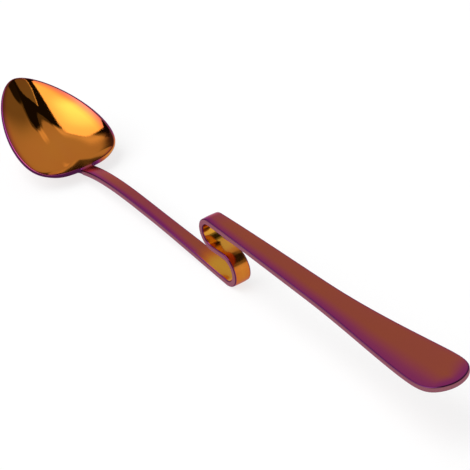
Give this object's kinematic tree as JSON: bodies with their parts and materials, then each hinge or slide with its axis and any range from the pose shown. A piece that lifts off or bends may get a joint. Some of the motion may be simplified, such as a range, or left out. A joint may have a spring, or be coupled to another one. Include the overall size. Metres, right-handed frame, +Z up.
{
  "type": "hanging teaspoon",
  "caption": "Teaspoon whose flat stem is folded back on itself in an S, so that it hangs by the fold from a cup's rim, with a pointed oval bowl and a paddle end.",
  "frame": {"origin": "on the table that the spoon lies on, below the middle of its length and on its plane of symmetry", "axes": "+X from the bowl to the end of the handle, +Y across the spoon, +Z up from the table, with the bowl's hollow facing up"},
  "size_m": [0.1876, 0.028, 0.0182],
  "materials": {
    "coated_steel": "mirror polish under a thin copper to purple colour film"
  },
  "bodies": {
    "root": {"spoon": "coated_steel"}
  },
  "joints": []
}
